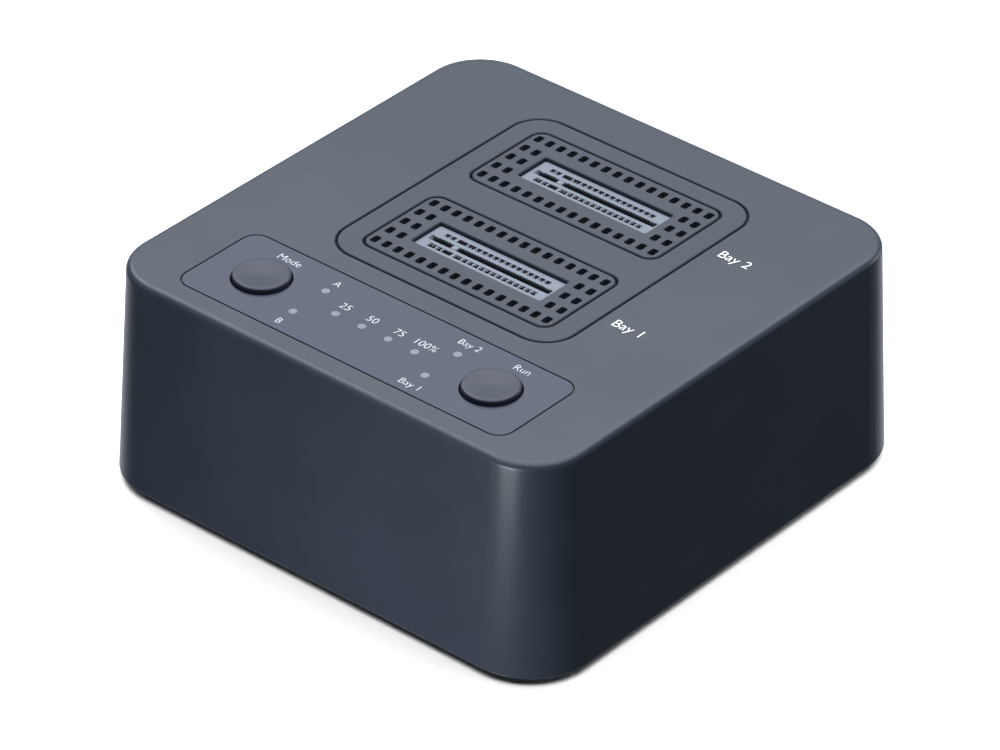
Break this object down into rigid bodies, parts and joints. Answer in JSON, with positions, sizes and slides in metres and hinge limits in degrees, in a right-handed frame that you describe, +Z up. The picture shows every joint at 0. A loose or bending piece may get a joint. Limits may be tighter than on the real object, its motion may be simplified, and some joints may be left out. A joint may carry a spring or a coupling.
{
  "type": "two-bay drive duplicator",
  "caption": "Compact square desktop duplicator for M.2 drives: upright card sockets in vented grilles, control strip with push buttons and status lights, rear ports and rocker.",
  "frame": {"origin": "middle of the footprint, on the surface that the feet stand on", "axes": "+X to the right along the front, +Y to the back, +Z up"},
  "size_m": [0.08, 0.08, 0.0344],
  "materials": {
    "housing_plastic": "fine-grained moulded shell",
    "insert_plastic": "fine-grained moulded insert",
    "overlay_film": "smooth satin film",
    "button_plastic": "satin moulded cap",
    "base_plastic": "moulded, coarse grain",
    "foot_rubber": "matt",
    "light_guide_plastic": "milky, clear",
    "socket_plastic": "glass-filled moulding",
    "contact_gold": "gold flash on phosphor bronze",
    "circuit_board": "solder resist over glass fibre",
    "screw_steel": "zinc plated",
    "pin_metal": "tinned brass",
    "black_plastic": "black nylon",
    "plunger_plastic": "acetal",
    "rocker_plastic": "polished",
    "port_steel": "nickel plated",
    "chip_epoxy": "moulded epoxy",
    "capacitor_can": "sleeved can",
    "ceramic_body": "fired",
    "crystal_can": "lidded can",
    "led_body": "clear epoxy"
  },
  "bodies": {
    "root": {"base_cover": "base_plastic", "base_screws": "screw_steel", "bay_plate": "insert_plastic", "board_link_housing": "black_plastic", "board_link_pins": "pin_metal", "bulk_capacitors": "capacitor_can", "ceramic_capacitors": "ceramic_body", "clock_crystals": "crystal_can", "control_board": "circuit_board", "control_board_screws": "screw_steel", "control_overlay": "overlay_film", "controller_chip": "chip_epoxy", "dc_jack_body": "black_plastic", "dc_jack_pin": "pin_metal", "dc_jack_spring": "pin_metal", "drive_light_guide": "light_guide_plastic", "foot_front_left": "foot_rubber", "foot_front_right": "foot_rubber", "foot_rear_left": "foot_rubber", "foot_rear_right": "foot_rubber", "main_board": "circuit_board", "main_board_screws": "screw_steel", "memory_chip": "chip_epoxy", "mode_light_guide": "light_guide_plastic", "mode_switch_body": "black_plastic", "power_inductors": "chip_epoxy", "power_switch_body": "black_plastic", "power_switch_terminals": "pin_metal", "progress_light_guide": "light_guide_plastic", "source_bridge_chip": "chip_epoxy", "source_contacts": "contact_gold", "source_grille": "insert_plastic", "source_socket": "socket_plastic", "source_socket_combs": "socket_plastic", "start_switch_body": "black_plastic", "status_leds": "led_body", "switch_domes": "pin_metal", "switch_legs": "pin_metal", "target_bridge_chip": "chip_epoxy", "target_contacts": "contact_gold", "target_grille": "insert_plastic", "target_socket": "socket_plastic", "target_socket_combs": "socket_plastic", "top_housing": "housing_plastic", "usb_c_shell": "port_steel", "usb_c_tongue": "black_plastic"},
    "mode_button": {"mode_button_cap": "button_plastic", "mode_switch_plunger": "plunger_plastic"},
    "start_button": {"start_button_cap": "button_plastic", "start_switch_plunger": "plunger_plastic"},
    "rocker": {"power_rocker": "rocker_plastic"}
  },
  "joints": [
    {"name": "mode_button_press", "type": "slide", "parent": "root", "child": "mode_button", "axis": [0, 0, -1], "range_m": [0, 0.0005], "stiffness_N_per_m": 1500},
    {"name": "start_button_press", "type": "slide", "parent": "root", "child": "start_button", "axis": [0, 0, -1], "range_m": [0, 0.0005], "stiffness_N_per_m": 1500},
    {"name": "power_rocker_tilt", "type": "hinge", "parent": "root", "child": "rocker", "pos_m": [-0.0155, 0.0359, 0.02605], "axis": [0, 0, 1], "range_deg": [0, 16]}
  ]
}
